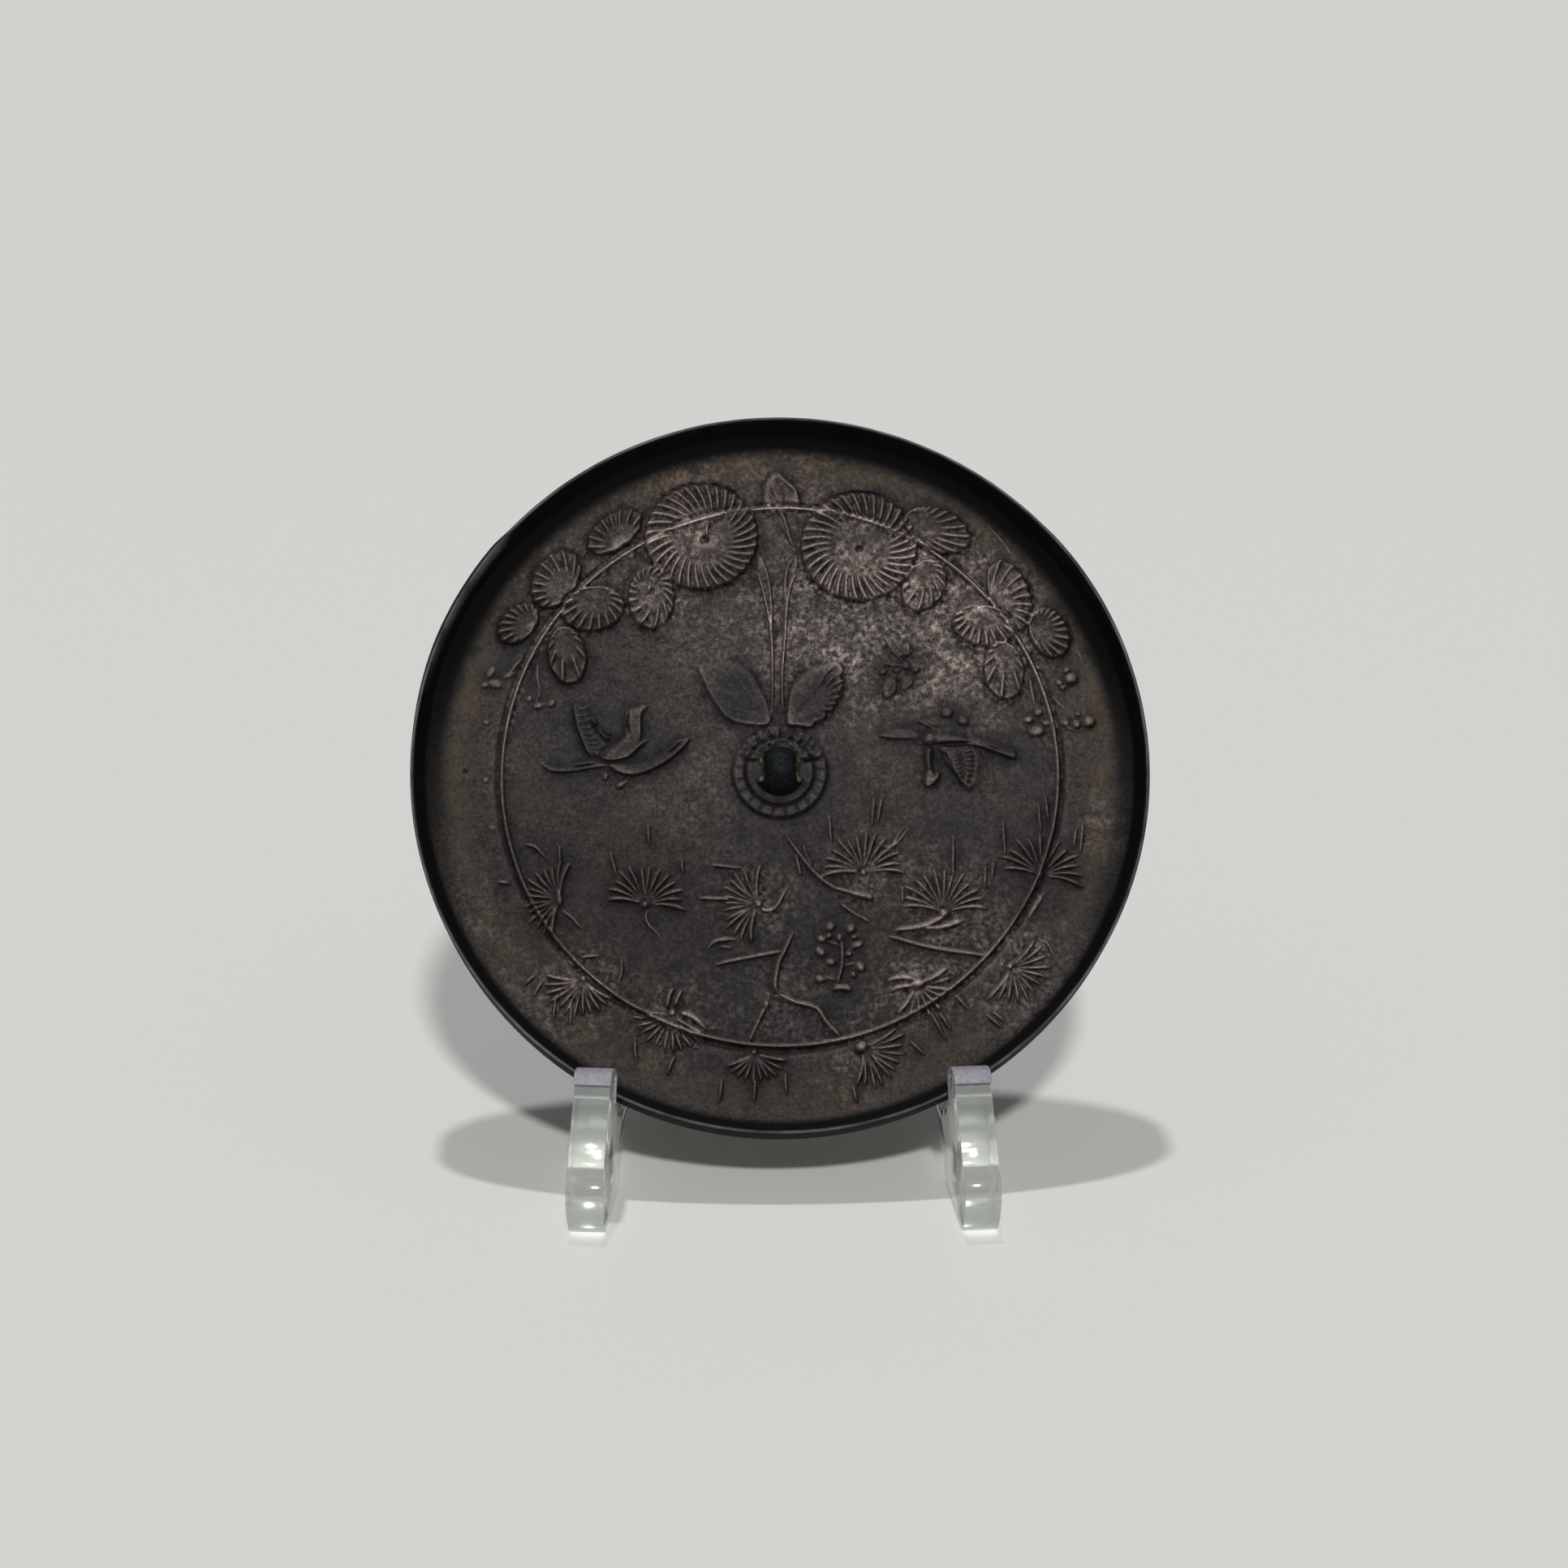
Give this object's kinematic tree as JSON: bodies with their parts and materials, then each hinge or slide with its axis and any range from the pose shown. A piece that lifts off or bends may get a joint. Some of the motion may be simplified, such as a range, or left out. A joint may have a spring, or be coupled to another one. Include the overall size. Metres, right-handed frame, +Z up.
{
  "type": "bronze mirror",
  "caption": "Round cast bronze hand mirror showing its decorated back, with a raised rim and pierced knob, leaning in clear acrylic display legs.",
  "frame": {"origin": "middle of the footprint of the whole object, on the surface the legs stand on", "axes": "+Z up, +X to the viewer's right across the mirror, -Y towards the viewer that the decorated back faces; the mirror leans back towards +Y"},
  "size_m": [0.105, 0.0736, 0.0989],
  "materials": {
    "bronze": "dark brown-black bronze patina, worn to a dull pinkish grey on the high spots; the hidden face polished and tarnished",
    "acrylic": "clear acrylic sheet, polished faces and edges",
    "pad_film": "soft lilac-white translucent cushioning film"
  },
  "bodies": {
    "root": {"mirror": "bronze", "stand_leg_left": "acrylic", "stand_leg_right": "acrylic", "pad_left": "pad_film", "pad_right": "pad_film"}
  },
  "joints": []
}
